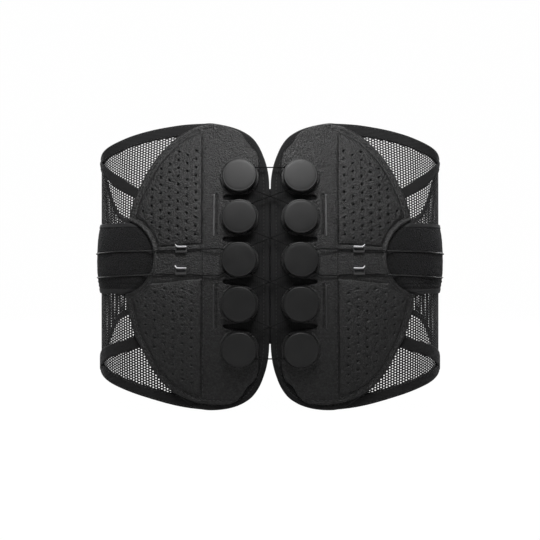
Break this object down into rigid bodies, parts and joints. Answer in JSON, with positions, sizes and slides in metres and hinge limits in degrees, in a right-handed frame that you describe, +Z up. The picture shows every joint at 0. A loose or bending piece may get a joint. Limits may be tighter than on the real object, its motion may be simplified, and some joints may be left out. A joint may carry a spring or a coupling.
{
  "type": "back brace",
  "caption": "Lumbar back brace with laced pulley back panels, mesh wings, side straps, pull handles and an overlapping front closure.",
  "frame": {"origin": "centre of the waist opening, at mid height of the back panels", "axes": "+Z up along the wearer's spine, +Y towards the front closure, -Y towards the pulleys on the back, +X towards the wearer's right as seen from behind"},
  "size_m": [0.3174, 0.2228, 0.2495],
  "materials": {
    "panel_fabric": "matte",
    "cover_leather": "satin grain",
    "pad_fabric": "matte",
    "stay_steel": "satin",
    "plate_plastic": "matte",
    "cap_plastic": "satin",
    "screw_steel": "satin",
    "guide_plastic": "gloss",
    "sheave_plastic": "satin",
    "cord": "satin",
    "mesh_fabric": "matte open mesh",
    "band_elastic": "ribbed",
    "loop_strap": "brushed loop",
    "flap_fabric": "matte",
    "hook_nylon": "matte",
    "handle_fabric": "matte",
    "grommet_plastic": "satin",
    "centre_knit": "rib knit"
  },
  "bodies": {
    "left_back": {"left_base_panel": "panel_fabric", "left_cover": "cover_leather", "left_lumbar_pad": "pad_fabric", "left_back_stays": "stay_steel", "left_pulley_plates": "plate_plastic", "left_pulley_caps": "cap_plastic", "left_sheave_screws": "screw_steel", "left_cord_guides": "guide_plastic", "left_wing_root": "mesh_fabric", "left_strap_root": "loop_strap", "left_back_cords": "cord", "centre_elastic": "centre_knit", "upper_lacing": "cord", "lower_lacing": "cord"},
    "left_wing": {"left_wing_mesh": "mesh_fabric", "left_wing_bands": "band_elastic", "left_wing_diagonals": "band_elastic", "left_side_strap": "loop_strap", "left_cord_keeper": "band_elastic", "left_wing_cords": "cord", "left_front_flap": "flap_fabric", "left_flap_loop": "loop_strap"},
    "left_handle": {"left_handle": "handle_fabric", "left_handle_hook": "hook_nylon", "left_handle_grommet": "grommet_plastic"},
    "left_sheave_1": {"left_sheave_1": "sheave_plastic"},
    "left_sheave_2": {"left_sheave_2": "sheave_plastic"},
    "left_sheave_3_outer": {"left_sheave_3_outer": "sheave_plastic"},
    "left_sheave_3_inner": {"left_sheave_3_inner": "sheave_plastic"},
    "left_sheave_4": {"left_sheave_4": "sheave_plastic"},
    "left_sheave_5": {"left_sheave_5": "sheave_plastic"},
    "right_back": {"right_base_panel": "panel_fabric", "right_cover": "cover_leather", "right_lumbar_pad": "pad_fabric", "right_back_stays": "stay_steel", "right_pulley_plates": "plate_plastic", "right_pulley_caps": "cap_plastic", "right_sheave_screws": "screw_steel", "right_cord_guides": "guide_plastic", "right_wing_root": "mesh_fabric", "right_strap_root": "loop_strap", "right_back_cords": "cord"},
    "right_wing": {"right_wing_mesh": "mesh_fabric", "right_wing_bands": "band_elastic", "right_wing_diagonals": "band_elastic", "right_side_strap": "loop_strap", "right_cord_keeper": "band_elastic", "right_wing_cords": "cord", "right_front_flap": "flap_fabric", "right_flap_hook": "hook_nylon"},
    "right_handle": {"right_handle": "handle_fabric", "right_handle_hook": "hook_nylon", "right_handle_grommet": "grommet_plastic"},
    "right_sheave_1": {"right_sheave_1": "sheave_plastic"},
    "right_sheave_2": {"right_sheave_2": "sheave_plastic"},
    "right_sheave_3_outer": {"right_sheave_3_outer": "sheave_plastic"},
    "right_sheave_3_inner": {"right_sheave_3_inner": "sheave_plastic"},
    "right_sheave_4": {"right_sheave_4": "sheave_plastic"},
    "right_sheave_5": {"right_sheave_5": "sheave_plastic"}
  },
  "joints": [
    {"name": "back_gap", "type": "slide", "parent": "left_back", "child": "right_back", "axis": [1, 0, 0], "range_m": [0, 0.02], "deforming": ["centre_elastic", "upper_lacing", "lower_lacing"]},
    {"name": "right_wing_open", "type": "hinge", "parent": "right_back", "child": "right_wing", "pos_m": [0.1285, -0.082, 0], "axis": [0, 0, -1], "range_deg": [0, 60]},
    {"name": "left_wing_open", "type": "hinge", "parent": "left_back", "child": "left_wing", "pos_m": [-0.1285, -0.082, 0], "axis": [0, 0, 1], "range_deg": [0, 30]},
    {"name": "left_handle_pull", "type": "hinge", "parent": "left_wing", "child": "left_handle", "pos_m": [0, -0.04934, 0], "axis": [0, 0, 1], "range_deg": [0, 18], "deforming": ["left_wing_cords"]},
    {"name": "right_handle_pull", "type": "hinge", "parent": "right_wing", "child": "right_handle", "pos_m": [0, -0.04934, 0], "axis": [0, 0, -1], "range_deg": [0, 18], "deforming": ["right_wing_cords"]},
    {"name": "left_sheave_1_turn", "type": "hinge", "parent": "left_back", "child": "left_sheave_1", "pos_m": [-0.02585, -0.09386, 0.0769], "axis": [0.0588, 0.9674, -0.2463], "continuous": true},
    {"name": "left_sheave_2_turn", "type": "hinge", "parent": "left_back", "child": "left_sheave_2", "pos_m": [-0.02585, -0.10144, 0.0418], "axis": [0.0597, 0.9827, -0.1751], "continuous": true},
    {"name": "left_sheave_3_outer_turn", "type": "hinge", "parent": "left_back", "child": "left_sheave_3_outer", "pos_m": [-0.02585, -0.10646, 0.0055], "axis": [0.0604, 0.9933, -0.0984], "continuous": true},
    {"name": "left_sheave_3_inner_turn", "type": "hinge", "parent": "left_back", "child": "left_sheave_3_inner", "pos_m": [-0.02585, -0.10646, 0.0055], "axis": [0.0604, 0.9933, -0.0984], "continuous": true},
    {"name": "left_sheave_4_turn", "type": "hinge", "parent": "left_back", "child": "left_sheave_4", "pos_m": [-0.02585, -0.10864, -0.0319], "axis": [0.0607, 0.998, -0.0176], "continuous": true},
    {"name": "left_sheave_5_turn", "type": "hinge", "parent": "left_back", "child": "left_sheave_5", "pos_m": [-0.02585, -0.10773, -0.0701], "axis": [0.0605, 0.996, 0.0653], "continuous": true},
    {"name": "right_sheave_1_turn", "type": "hinge", "parent": "right_back", "child": "right_sheave_1", "pos_m": [0.02585, -0.09386, 0.0769], "axis": [-0.0588, 0.9674, -0.2463], "continuous": true},
    {"name": "right_sheave_2_turn", "type": "hinge", "parent": "right_back", "child": "right_sheave_2", "pos_m": [0.02585, -0.10144, 0.0418], "axis": [-0.0597, 0.9827, -0.1751], "continuous": true},
    {"name": "right_sheave_3_outer_turn", "type": "hinge", "parent": "right_back", "child": "right_sheave_3_outer", "pos_m": [0.02585, -0.10646, 0.0055], "axis": [-0.0604, 0.9933, -0.0984], "continuous": true},
    {"name": "right_sheave_3_inner_turn", "type": "hinge", "parent": "right_back", "child": "right_sheave_3_inner", "pos_m": [0.02585, -0.10646, 0.0055], "axis": [-0.0604, 0.9933, -0.0984], "continuous": true},
    {"name": "right_sheave_4_turn", "type": "hinge", "parent": "right_back", "child": "right_sheave_4", "pos_m": [0.02585, -0.10864, -0.0319], "axis": [-0.0607, 0.998, -0.0176], "continuous": true},
    {"name": "right_sheave_5_turn", "type": "hinge", "parent": "right_back", "child": "right_sheave_5", "pos_m": [0.02585, -0.10773, -0.0701], "axis": [-0.0605, 0.996, 0.0653], "continuous": true}
  ],
  "couplings": [
    {"joint": "left_wing_open", "follows": "right_wing_open", "ratio": 0.5},
    {"joint": "left_handle_pull", "follows": "back_gap", "rad_per_m": 15.625},
    {"joint": "right_handle_pull", "follows": "back_gap", "rad_per_m": 15.625},
    {"joint": "left_sheave_1_turn", "follows": "back_gap", "rad_per_m": 64.103},
    {"joint": "left_sheave_2_turn", "follows": "back_gap", "rad_per_m": 192.31},
    {"joint": "left_sheave_3_outer_turn", "follows": "back_gap", "rad_per_m": 320.51},
    {"joint": "left_sheave_3_inner_turn", "follows": "back_gap", "rad_per_m": -320.51},
    {"joint": "left_sheave_4_turn", "follows": "back_gap", "rad_per_m": -192.31},
    {"joint": "left_sheave_5_turn", "follows": "back_gap", "rad_per_m": -64.103},
    {"joint": "right_sheave_1_turn", "follows": "back_gap", "rad_per_m": -64.103},
    {"joint": "right_sheave_2_turn", "follows": "back_gap", "rad_per_m": -192.31},
    {"joint": "right_sheave_3_outer_turn", "follows": "back_gap", "rad_per_m": -320.51},
    {"joint": "right_sheave_3_inner_turn", "follows": "back_gap", "rad_per_m": 320.51},
    {"joint": "right_sheave_4_turn", "follows": "back_gap", "rad_per_m": 192.31},
    {"joint": "right_sheave_5_turn", "follows": "back_gap", "rad_per_m": 64.103}
  ]
}
